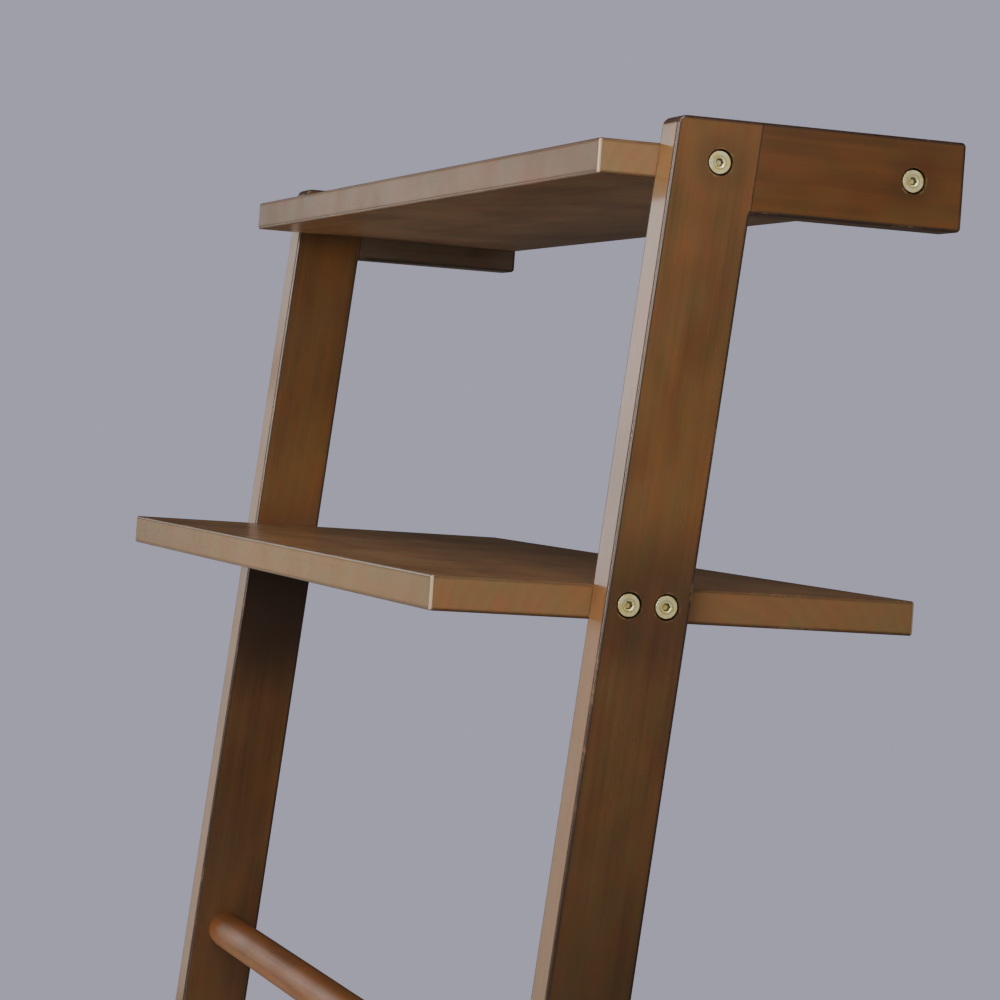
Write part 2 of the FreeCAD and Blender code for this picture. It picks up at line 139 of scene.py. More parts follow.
def wood_figure_group():
    """Growth rings, long fibres, short open pores and the patches in which wood takes stain.

    Place is measured in metres with X along the grain, and Pith is a point on the tree's heart.
    """
    inputs = {"Place": "Vector", "Pith": "Vector", "Seed": "Float"}
    outputs = {title: "Float" for title in ("Rings", "Fibres", "Pores", "Blotches", "Redness")}
    tree, given, result = new_group("wood_figure", inputs, outputs)
    step = add_node(tree, "CombineXYZ", None, {0: given["Seed"], 1: given["Seed"], 2: given["Seed"]})
    place = work_out_vector(tree, "ADD", given["Place"], step.outputs[0])

    across = work_out_vector(tree, "SUBTRACT", given["Place"], given["Pith"])
    across = work_out_vector(tree, "MULTIPLY", across, (0.0, 1.0, 1.0))
    radius = work_out_vector(tree, "LENGTH", across)
    radius = work_out(tree, "MULTIPLY_ADD", cloud(tree, place, (1.5, 8.0, 8.0)), 0.045, radius)
    radius = work_out(tree, "MULTIPLY_ADD", cloud(tree, place, (9.0, 70.0, 70.0)), 0.003, radius)
    ring = work_out(tree, "FRACT", work_out(tree, "MULTIPLY", radius, RINGS_PER_METRE))
    rings = work_out(tree, "SUBTRACT", spread(tree, ring, 0.0, 0.8), spread(tree, ring, 0.84, 1.0))
    tree.links.new(rings, result["Rings"])

    fibres = cloud(tree, place, (6.0, 380.0, 380.0), 3.0, 0.6)
    tree.links.new(spread(tree, fibres, 0.30, 0.70), result["Fibres"])
    pores = cloud(tree, place, (170.0, 2200.0, 2200.0), 1.0)
    bar = work_out(tree, "MULTIPLY_ADD", cloud(tree, place, (6.0, 50.0, 50.0), 1.0), -0.20, 0.78)
    tree.links.new(spread(tree, work_out(tree, "SUBTRACT", pores, bar), 0.0, 0.06), result["Pores"])
    blotches = cloud(tree, place, (9.0, 22.0, 22.0), 3.0, 0.6)
    tree.links.new(spread(tree, blotches, 0.30, 0.70), result["Blotches"])
    redness = cloud(tree, place, (34.0, 75.0, 75.0), 3.0, 0.65)
    tree.links.new(spread(tree, redness, 0.30, 0.70), result["Redness"])
    return tree


def edge_wear_group():
    """Where a box-shaped piece is rounded over, and where handling has rubbed it near an edge."""
    inputs = {"Place": "Vector", "Facing": "Vector", "Half Size": "Vector"}
    inputs |= {"Reach": "Float", "Seed": "Float"}
    outputs = {"Rounded": "Float", "Near": "Float", "Rubbed": "Float"}
    tree, given, result = new_group("edge_wear", inputs, outputs)
    inside = work_out_vector(tree, "ABSOLUTE", given["Place"])
    inset = work_out_vector(tree, "SUBTRACT", given["Half Size"], inside)
    gaps = add_node(tree, "SeparateXYZ", None, {0: inset})
    first, second, third = gaps.outputs[0], gaps.outputs[1], gaps.outputs[2]
    least = work_out(tree, "MINIMUM", work_out(tree, "MINIMUM", first, second), third)
    most = work_out(tree, "MAXIMUM", work_out(tree, "MAXIMUM", first, second), third)
    total = work_out(tree, "ADD", work_out(tree, "ADD", first, second), third)
    to_edge = work_out(tree, "SUBTRACT", work_out(tree, "SUBTRACT", total, least), most)
    near = spread(tree, work_out(tree, "DIVIDE", to_edge, given["Reach"]), 1.0, 0.45)
    tree.links.new(near, result["Near"])

    square_on = add_node(tree, "SeparateXYZ", None, {0: work_out_vector(tree, "ABSOLUTE", given["Facing"])})
    straight = work_out(tree, "MAXIMUM", square_on.outputs[0], square_on.outputs[1])
    straight = work_out(tree, "MAXIMUM", straight, square_on.outputs[2])
    rounded = spread(tree, straight, 0.9992, 0.975)
    tree.links.new(rounded, result["Rounded"])

    step = add_node(tree, "CombineXYZ", None, {0: given["Seed"]}).outputs[0]
    place = work_out_vector(tree, "ADD", given["Place"], step)
    patches = spread(tree, cloud(tree, place, (24.0, 24.0, 24.0), 3.0, 0.6), 0.54, 0.74)
    nicks = spread(tree, cloud(tree, place, (380.0, 380.0, 380.0), 2.0, 0.6), 0.36, 0.62)
    open_to_wear = work_out(tree, "MAXIMUM", rounded, work_out(tree, "MULTIPLY", near, 0.25))
    rubbed = work_out(tree, "MULTIPLY", open_to_wear, work_out(tree, "MULTIPLY", patches, nicks))
    tree.links.new(rubbed, result["Rubbed"])
    return tree


def handling_group():
    """Faint smears and specks of dust that change the shine of anything that is handled."""
    outputs = {"Smears": "Float", "Specks": "Float"}
    tree, given, result = new_group("handling", {"Place": "Vector"}, outputs)
    smears = cloud(tree, given["Place"], (15.0, 15.0, 15.0), 4.0, 0.6)
    tree.links.new(spread(tree, smears, 0.35, 0.68), result["Smears"])
    specks = cloud(tree, given["Place"], (800.0, 800.0, 800.0), 0.0)
    tree.links.new(spread(tree, specks, 0.76, 0.82), result["Specks"])
    return tree


def stain_and_varnish_group():
    """Turns the wood's figure, its wear and its painted shade and highlights into colour, gloss and relief.
    """
    masks = ("Rings", "Fibres", "Pores", "Blotches", "Redness", "Rounded", "Rubbed")
    masks += ("Cut", "Banded", "Stain And Shade", "Outlined", "Corner Highlight", "Dulled", "Smears", "Specks")
    inputs = {name: "Float" for name in masks}
    inputs |= {"Tone": "Color", "Edge Tone": "Color", "Cut Tone": "Color", "Band Tone": "Color"}
    inputs |= {"Band Gloss": "Float", "Edge Share": "Float"}
    outputs = {"Color": "Color", "Roughness": "Float", "Coat": "Float", "Height": "Float"}
    tree, given, result = new_group("stain_and_varnish", inputs, outputs)

    share = work_out(tree, "MULTIPLY_ADD", given["Rings"], 0.20, 0.24)
    share = work_out(tree, "MULTIPLY_ADD", given["Fibres"], 0.32, share)
    colour = lay_over(tree, share, STAIN_DARK, STAIN_MIDDLE)
    colour = lay_over(tree, work_out(tree, "MULTIPLY", given["Blotches"], 0.42), colour, STAIN_LIGHT)
    colour = lay_over(tree, 1.0, colour, given["Tone"], "MULTIPLY")
    cut = lay_over(tree, work_out(tree, "MULTIPLY", given["Rings"], 0.10), given["Cut Tone"], STAIN_MIDDLE)
    cut = lay_over(tree, work_out(tree, "MULTIPLY", given["Blotches"], 0.25), cut, STAIN_LIGHT)
    colour = lay_over(tree, given["Cut"], colour, cut)
    streaks = work_out(tree, "MULTIPLY", given["Fibres"], 0.22)
    band = lay_over(tree, streaks, given["Band Tone"], STAIN_MIDDLE)
    band = lay_over(tree, work_out(tree, "MULTIPLY", given["Blotches"], 0.22), band, STAIN_LIGHT)
    colour = lay_over(tree, given["Banded"], colour, band)
    tint = lay_over(tree, given["Redness"], STAIN_COOL, STAIN_WARM)
    colour = lay_over(tree, 1.0, colour, tint, "MULTIPLY")
    colour = lay_over(tree, work_out(tree, "MULTIPLY", given["Pores"], 0.32), colour, DARK_STAIN_AND_SHADE)
    # Dark where stain pools and where shade is painted: in and about the bolt holes, low on the stiles, and
    # at the seams.
    colour = lay_over(tree, given["Stain And Shade"], colour, DARK_STAIN_AND_SHADE)
    # Edge Tone laid over the round-overs and the strips beside them is a painted shade line.
    edge = work_out(tree, "MAXIMUM", given["Rounded"], given["Outlined"])
    edge = work_out(tree, "MULTIPLY", edge, given["Edge Share"])
    colour = lay_over(tree, edge, colour, given["Edge Tone"])
    # Pale upright corners of the boards: a painted highlight.
    colour = lay_over(tree, given["Corner Highlight"], colour, CORNER_HIGHLIGHT)
    # Bare wood where handling has rubbed the edges; on the stiles and arms this also lays a painted
    # highlight on each counterbore's rim.
    colour = lay_over(tree, work_out(tree, "MULTIPLY", given["Rubbed"], 0.60), colour, BARE_WOOD)
    tree.links.new(colour, result["Color"])

    rough = work_out(tree, "MULTIPLY_ADD", given["Smears"], 0.09, 0.36)
    rough = work_out(tree, "MULTIPLY_ADD", given["Pores"], 0.20, rough)
    rough = work_out(tree, "MULTIPLY_ADD", given["Cut"], 0.14, rough)
    rough = work_out(tree, "MULTIPLY_ADD", given["Banded"], 0.12, rough)
    rough = work_out(tree, "MULTIPLY_ADD", given["Specks"], 0.12, rough)
    rough = work_out(tree, "MULTIPLY_ADD", given["Rubbed"], 0.16, rough)
    rough = work_out(tree, "MULTIPLY_ADD", given["Outlined"], 0.25, rough)
    rough = work_out(tree, "MULTIPLY_ADD", given["Dulled"], 0.14, rough)
    tree.links.new(rough, result["Roughness"])

    coat = work_out(tree, "MULTIPLY_ADD", given["Cut"], -0.14, 0.24)
    coat = work_out(tree, "MULTIPLY_ADD", given["Banded"], given["Band Gloss"], coat)
    coat = work_out(tree, "MULTIPLY_ADD", given["Rounded"], 0.45, coat)
    coat = work_out(tree, "MULTIPLY_ADD", given["Rubbed"], -0.30, coat)
    coat = work_out(tree, "MULTIPLY_ADD", given["Outlined"], -0.60, coat)
    coat = work_out(tree, "MULTIPLY_ADD", given["Dulled"], -0.25, coat)
    tree.links.new(coat, result["Coat"])

    height = work_out(tree, "MULTIPLY", given["Fibres"], 0.14)
    height = work_out(tree, "MULTIPLY_ADD", given["Rings"], 0.08, height)
    height = work_out(tree, "MULTIPLY_ADD", given["Blotches"], 0.20, height)
    height = work_out(tree, "MULTIPLY_ADD", given["Pores"], -0.50, height)
    height = work_out(tree, "MULTIPLY_ADD", given["Specks"], 0.25, height)
    tree.links.new(height, result["Height"])
    return tree


wood_figure = wood_figure_group()
edge_wear = edge_wear_group()
handling = handling_group()
stain_and_varnish = stain_and_varnish_group()


def new_material(name):
    """An empty material, with a Principled shader in its output."""
    material = bpy.data.materials.new(name)
    material.use_nodes = True
    tree = material.node_tree
    tree.nodes.clear()
    shader = tree.nodes.new("ShaderNodeBsdfPrincipled")
    output = tree.nodes.new("ShaderNodeOutputMaterial")
    tree.links.new(shader.outputs["BSDF"], output.inputs["Surface"])
    return material, tree, shader


def own_place(tree, spot, centre, turn):
    """A point of a piece, seen from the piece's centre and turned with it."""
    mapping = add_node(tree, "Mapping", {"vector_type": "POINT"}, {"Vector": spot})
    mapping.inputs["Rotation"].default_value = turn.to_euler()
    mapping.inputs["Location"].default_value = -(turn @ centre)
    return mapping.outputs["Vector"]


def nearest_hole(tree, spot, holes):
    """How far a point is, seen from the side, from the middle of the nearest bolt hole."""
    closest = None
    for hole in holes:
        flat = work_out_vector(tree, "SUBTRACT", spot, tuple(hole))
        flat = work_out_vector(tree, "MULTIPLY", flat, (0.0, 1.0, 1.0))
        length = work_out_vector(tree, "LENGTH", flat)
        closest = length if closest is None else work_out(tree, "MINIMUM", closest, length)
    return closest


def stained_wood(name, centre, size, turn, seed, pith, tone, edge_tone, edge_share, cut_tone, **more):
    """The stained and varnished wood of one piece.

    centre and turn carry the piece's space to one with its length along X. more may hold:
    holes, a list of bolt axes, with pool, a dark patch on the wide faces (middle, reach, depth) that is
    painted shade and stain deepens, painted shade that darkens the wide faces towards the foot (where it
    starts, where it ends, depth) joint, the plane of a glued seam (a point on it, its direction) and the
    height of the top banded, faces of another tone (their axis, their share), with band_tone and band_gloss
    bared, how strong a painted highlight on the upright corners is
    dulled, how matt a turned piece is, which has no edges of its own
    """
    material, tree, shader = new_material(name)
    spot = tree.nodes.new("ShaderNodeTexCoord").outputs["Object"]
    place = own_place(tree, spot, centre, turn)
    normal = tree.nodes.new("ShaderNodeNewGeometry").outputs["Normal"]
    turned = add_node(tree, "Mapping", {"vector_type": "VECTOR"}, {"Vector": normal})
    turned.inputs["Rotation"].default_value = turn.to_euler()
    facing = turned.outputs["Vector"]

    figure = place_group(tree, wood_figure, {"Place": place, "Pith": pith, "Seed": seed})
    edges = {"Place": place, "Facing": facing, "Half Size": size / 2, "Reach": EDGE_REACH, "Seed": seed}
    worn = place_group(tree, edge_wear, edges)
    touched = place_group(tree, handling, {"Place": place})

    along = add_node(tree, "SeparateXYZ", None, {0: work_out_vector(tree, "ABSOLUTE", facing)}).outputs
    cut = spread(tree, along[0], 0.55, 0.95)
    band_axis, band_share = more.get("banded", (1, 0.0))
    banded = spread(tree, along[band_axis], 0.45, 0.95, 0.0, band_share)

    pooled = None
    rubbed = worn["Rubbed"]
    sideways = spread(tree, along[1], 0.45, 0.75)
    on_face = spread(tree, along[1], 0.30, 0.90)
    shiny = work_out(tree, "MULTIPLY", worn["Rounded"], sideways)
    # Where the round-overs turn away from their glossy strip, and on the strips beside them, the wood is
    # painted near-black and matt: a painted shade line beside the highlight.
    outline = work_out(tree, "SUBTRACT", work_out(tree, "MAXIMUM", worn["Near"], worn["Rounded"]), shiny)
    if more.get("holes"):
        gap = nearest_hole(tree, spot, more["holes"])
        # About each hole a wider ring is painted darker, painted shade, and the bore itself near-black,
        # painted shade in the recess.
        hole_shade = spread(tree, gap, HOLE_RADIUS + HOLE_SHADE_REACH, HOLE_RADIUS, 0.0, 0.24)
        inside = spread(tree, gap, HOLE_RADIUS + HOLE_BLUR, HOLE_RADIUS - HOLE_BLUR, 0.0, 0.85)
        pooled = work_out(tree, "MAXIMUM", hole_shade, inside)
        # A dark patch on the wide faces, painted shade and stain.
        if more.get("pool"):
            pool_middle, reach, depth = more["pool"]
            from_pool = nearest_hole(tree, spot, [pool_middle])
            wide = spread(tree, from_pool, reach, reach * 0.25, 0.0, depth)
            wide = work_out(tree, "MULTIPLY", wide, on_face)
            pooled = work_out(tree, "MAXIMUM", pooled, wide)
        # A pale ring at each counterbore's mouth, broken up by noise and laid on as bare wood, is a painted
        # highlight on the rim.
        rim_glint = work_out(
            tree,
            "MULTIPLY",
            spread(tree, gap, HOLE_RADIUS, HOLE_RADIUS + RIM_GLINT_START),
            spread(tree, gap, HOLE_RADIUS + RIM_GLINT_END, HOLE_RADIUS + RIM_GLINT_FADE),
        )
        glint_breaks = spread(tree, cloud(tree, place, (160.0, 160.0, 160.0), 2.0), 0.52, 0.66, 0.0, 0.6)
        rubbed = work_out(tree, "MAXIMUM", rubbed, work_out(tree, "MULTIPLY", rim_glint, glint_breaks))
    # Painted shade: below the lower board the wide faces darken towards the foot.
    if more.get("deepens"):
        start, end, depth = more["deepens"]
        distance_along = add_node(tree, "SeparateXYZ", None, {0: place}).outputs[0]
        painted_falloff_shade = spread(tree, distance_along, start, end, 0.0, depth)
        painted_falloff_shade = work_out(tree, "MULTIPLY", painted_falloff_shade, on_face)
        pooled = work_out(tree, "MAXIMUM", pooled, painted_falloff_shade)
    if more.get("joint"):
        point, across, top = more["joint"]
        from_seam = work_out_vector(tree, "SUBTRACT", spot, point)
        off = work_out(tree, "ABSOLUTE", work_out_vector(tree, "DOT_PRODUCT", from_seam, across))
        above = work_out_vector(tree, "DOT_PRODUCT", spot, (0.0, 0.0, 1.0))
        line = spread(tree, off, SEAM_WIDTH, SEAM_DARK, 0.0, 0.75)
        line = work_out(tree, "MULTIPLY", line, spread(tree, above, point[2] - 0.0005, point[2]))
        clear = spread(tree, off, SEAM_MARGIN, SEAM_MARGIN_END)
        clear = work_out(tree, "MAXIMUM", clear, spread(tree, above, point[2], point[2] - 0.0010))
        outline = work_out(tree, "MULTIPLY", outline, clear)
        # The same near-black line is painted along the arm's top edge.
        near_top = spread(tree, above, top - EDGE_REACH, top - TOP_EDGE)
        near_top = work_out(tree, "SUBTRACT", near_top, shiny)
        outline = work_out(tree, "MAXIMUM", outline, near_top)
        pooled = line if pooled is None else work_out(tree, "MAXIMUM", pooled, line)

    masks = {title: figure[title] for title in ("Rings", "Fibres", "Pores", "Blotches", "Redness")}
    if more.get("bared"):
        corner = work_out(tree, "MULTIPLY", along[0], along[1])
        masks["Corner Highlight"] = spread(tree, corner, 0.16, 0.40, 0.0, more["bared"])
    if more.get("dulled"):
        shiny, outline, rubbed = 0.0, 0.0, 0.0
        masks["Dulled"] = more["dulled"]
    masks |= {"Rounded": shiny, "Outlined": outline, "Rubbed": rubbed, "Cut": cut, "Banded": banded}
    masks |= {"Smears": touched["Smears"], "Specks": touched["Specks"]}
    masks |= {"Tone": tone, "Edge Tone": edge_tone, "Edge Share": edge_share, "Cut Tone": cut_tone}
    masks |= {"Band Tone": more.get("band_tone", STAIN_MIDDLE), "Band Gloss": more.get("band_gloss", 0.0)}
    if pooled is not None:
        masks["Stain And Shade"] = pooled
    finish = place_group(tree, stain_and_varnish, masks)
    relief = {"Height": finish["Height"], "Strength": 0.6, "Distance": WOOD_RELIEF}
    bump = add_node(tree, "Bump", None, relief)
    tree.links.new(finish["Color"], shader.inputs["Base Color"])
    tree.links.new(finish["Roughness"], shader.inputs["Roughness"])
    tree.links.new(finish["Coat"], shader.inputs["Coat Weight"])
    tree.links.new(bump.outputs["Normal"], shader.inputs["Normal"])
    shader.inputs["IOR"].default_value = 1.48
    shader.inputs["Coat Roughness"].default_value = 0.16
    return material


def dress(name, material):
    """Gives a body of the frame one material all over."""
    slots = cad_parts[name].data.materials
    slots.clear()
    slots.append(material)


def middle_and_size(name):
    """The middle of a body's box and its size."""
    low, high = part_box(name)
    return (low + high) / 2, high - low


def bolt_axes(side, places):
    """The middles of the bolts that pass through a side at the places named."""
    return [middle_and_size(f"{side}_{place}_bolt")[0] for place in places]


stile_low, stile_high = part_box("right_stile")
arm_low, arm_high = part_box("right_arm")
lean = atan((stile_high.y - STILE_WIDTH - stile_low.y) / (stile_high.z - stile_low.z))
upright = Matrix(((0, sin(lean), cos(lean)), (1, 0, 0), (0, cos(lean), -sin(lean))))
joint = ((0.0, arm_low.y, arm_low.z), (0.0, cos(lean), -sin(lean)), arm_high.z)
stile_bolts = ["top_shelf_front", "lower_shelf_front", "lower_shelf_back"]
stile_bolts += [f"rung_{number}" for number in range(1, 5)]
PAST_THE_ENDS = 0.03
BELOW_SHELF = Vector((0, -0.004, -0.048))
for side in ("left", "right"):
    middle, size = middle_and_size(f"{side}_stile")
    length = size.z / cos(lean)
    near_side = side == "right"
    shelf_bolts = sum(bolt_axes(side, ["lower_shelf_front", "lower_shelf_back"]), Vector()) / 2
    dress(
        f"{side}_stile",
        stained_wood(
            f"{side}_stile_wood",
            middle,
            Vector((length + PAST_THE_ENDS, size.x, STILE_WIDTH)),
            upright,
            seed=8.4 if near_side else 3.1,
            pith=(0.0, 0.09, -0.05) if near_side else (0.0, -0.08, 0.07),
            # The two stiles are toned apart, painted light: the near one bluer, a painted grey sheen, and
            # the far one more orange, standing in for light bounced off the wood.
            tone=(1.34, 1.44, 1.22, 1) if near_side else (1.28, 1.25, 0.76, 1),
            edge_tone=DARK_STAIN_AND_SHADE,
            edge_share=0.94,
            cut_tone=CUT_END,
            # The narrow front and back faces are toned paler than the wide ones: painted light, standing in
            # for the brighter light on the fronts.
            banded=(2, 0.90),
            band_tone=STILE_EDGE,
            band_gloss=0.25,
            holes=bolt_axes(side, stile_bolts),
            # Below the lower board the wide faces darken towards the foot: painted shade.
            deepens=(0.62, 0.34, 0.55) if near_side else (0.62, 0.34, 0.16),
            # On the far stile the dark patch sits just below the lower board, its painted shadow with
            # stain; on the near stile it lies about that board's bolts, painted shade with stain.
            pool=(shelf_bolts, 0.055, 0.50) if near_side else (shelf_bolts + BELOW_SHELF, 0.085, 0.88),
            joint=joint,
        ),
    )

# ---------------------------------------------------------------------------------------------
# Arms. Short level pieces of the same stock, butted against the stiles' back edges with glue and
# two dowels each, so that a fine dark line shows where the two pieces meet.
# ---------------------------------------------------------------------------------------------
ARM_BEYOND_JOINT = 0.03
level = Matrix(((0, 1, 0), (1, 0, 0), (0, 0, -1)))
for side in ("left", "right"):
    middle, size = middle_and_size(f"{side}_arm")
    near_side = side == "right"
    dress(
        f"{side}_arm",
        stained_wood(
            f"{side}_arm_wood",
            middle - Vector((0, ARM_BEYOND_JOINT / 2, 0)),
            Vector((size.y + ARM_BEYOND_JOINT, size.x, size.z)),
            level,
            seed=5.9 if near_side else 1.7,
            pith=(0.0, -0.07, 0.06) if near_side else (0.0, 0.10, -0.04),
            # The far arm is toned grey-blue, a painted grey sheen, where the near arm keeps the wood's
            # orange-brown.
            tone=(1.14, 1.05, 0.66, 1) if near_side else (1.12, 1.75, 3.20, 1),
            edge_tone=DARK_STAIN_AND_SHADE,
            edge_share=0.94,
            cut_tone=CUT_END,
            holes=bolt_axes(side, ["top_shelf_back"]),
            joint=joint,
        ),
    )

# ---------------------------------------------------------------------------------------------
# Dowels. Four plain pins of pale, unstained beech, each glued half in a stile and half in an arm.
# They are hidden once the joint is closed, and are shown as the frame has them.
# ---------------------------------------------------------------------------------------------
BEECH = (0.52, 0.36, 0.20, 1)
BEECH_FLECK = (0.33, 0.20, 0.10, 1)


def beech_pin(name, centre, seed):
    """Unstained beech, matt and straight-grained, with its short dark flecks."""
    material, tree, shader = new_material(name)
    spot = tree.nodes.new("ShaderNodeTexCoord").outputs["Object"]
    place = own_place(tree, spot, centre, level)
    heart = {"Place": place, "Pith": (0.0, 0.05, 0.05), "Seed": seed}
    figure = place_group(tree, wood_figure, heart)
    share = work_out(tree, "MULTIPLY_ADD", figure["Fibres"], 0.40, 0.05)
    share = work_out(tree, "MULTIPLY_ADD", figure["Pores"], 0.50, share)
    colour = lay_over(tree, share, BEECH, BEECH_FLECK)
    tree.links.new(colour, shader.inputs["Base Color"])
    tree.links.new(spread(tree, figure["Fibres"], 0.0, 1.0, 0.55, 0.72), shader.inputs["Roughness"])
    bump = add_node(tree, "Bump", None, {"Height": figure["Fibres"], "Strength": 0.5, "Distance": 0.0001})
    tree.links.new(bump.outputs["Normal"], shader.inputs["Normal"])
    return material


for side in ("left", "right"):
    for row, place in enumerate(("upper", "lower")):
        pin = f"{side}_{place}_dowel"
        dress(pin, beech_pin(f"{pin}_wood", middle_and_size(pin)[0], 2.0 + row))

# ---------------------------------------------------------------------------------------------
# Shelves. Two boards of the same wood with the grain along their length, bolted between the
# stiles. Their ends take the stain paler and yellower than their faces, their long edges darker
# and more orange; these tones are set board by board and are partly painted light.
# ---------------------------------------------------------------------------------------------
# Each board has its own edge and end tones, painted light: the top board's long edges are darker, a painted
# shade where less sheen falls on them, and its ends paler, a painted sheen.
boards = {
    "top_shelf": {"seed": 2.3, "band": (0.087, 0.0430, 0.0120, 1), "cut": (0.217, 0.128, 0.058, 1)},
    "lower_shelf": {"seed": 6.3, "band": (0.140, 0.0780, 0.0175, 1), "cut": (0.194, 0.104, 0.040, 1)},
}
lengthwise = Matrix.Identity(3)
for name, board in boards.items():
    middle, size = middle_and_size(name)
    dress(
        name,
        stained_wood(
            f"{name}_wood",
            middle,
            size,
            lengthwise,
            seed=board["seed"],
            pith=(0.0, 0.02, -0.06),
            # The boards are toned lighter and bluer than the stiles: painted light, making up for light
            # under the boards and standing in for a grey sheen on their tops.
            tone=(1.80, 2.14, 2.60, 1),
            edge_tone=DARK_STAIN_AND_SHADE,
            # The boards' round-overs are painted half-dark, a painted shade line.
            edge_share=0.50,
            cut_tone=board["cut"],
            banded=(1, 0.90),
            band_tone=board["band"],
            band_gloss=-0.18,
            # The upright corners are painted pale, a painted highlight.
            bared=0.60,
        ),
    )

# ---------------------------------------------------------------------------------------------
# Rungs. Four turned rods of the same wood, let into the stiles and held by a bolt at each end.
# They are round, so they have no edges to be outlined dark or rubbed by handling.
# ---------------------------------------------------------------------------------------------
RUNG_REACH = 1.0
for number in range(1, 5):
    middle, size = middle_and_size(f"rung_{number}")
    dress(
        f"rung_{number}",
        stained_wood(
            f"rung_{number}_wood",
            middle,
            Vector((size.x, RUNG_REACH, RUNG_REACH)),
            lengthwise,
            seed=1.1 * number,
            pith=(0.0, 0.03, -0.05),
            tone=(2.05, 1.76, 1.15, 1),
            edge_tone=STAIN_MIDDLE,
            edge_share=0.0,
            cut_tone=CUT_END,
            dulled=0.6,
        ),
    )

# ---------------------------------------------------------------------------------------------
# Bolts. Sixteen flat-headed furniture bolts with a hexagon socket, turned from steel and plated
# yellow, each in a counterbore. Fine rings run about the heads. Their sockets are painted dark,
# a painted shade, save for a pale spot on the floor, a painted highlight; a darker ring about
# each socket is painted shade, and a pale ring just inside each head's edge a painted highlight,
# with painted shade at the edge itself.
# ---------------------------------------------------------------------------------------------
PLATING_YELLOW = (0.76, 0.62, 0.20, 1)
PLATING_PALE = (0.93, 0.90, 0.56, 1)
PLATING_SHADE = (0.09, 0.065, 0.018, 1)
PLATING_RING_SHADE = (0.30, 0.25, 0.06, 1)
HEAD_RADIUS = 0.006
SOCKET_RADIUS = 0.0027
DISH_RISE = 0.0004
DISH_FADE = 0.0007
DISH_END = 0.0014
RIM_WIDTH = 0.0009
RIM_SHADE = 0.0005
RIM_SHADE_FULL = 0.0002
SOCKET_SHADE_DEPTH = 0.0004
SOCKET_SHADE_FULL = 0.0016
SOCKET_FLOOR = 0.0021
SOCKET_FLOOR_FULL = 0.0025
FLOOR_SPOT_RADIUS = 0.0017
FLOOR_SPOT_FULL = 0.0008
TURNING_MARKS = 16000.0
PLATING_RELIEF = 0.00002


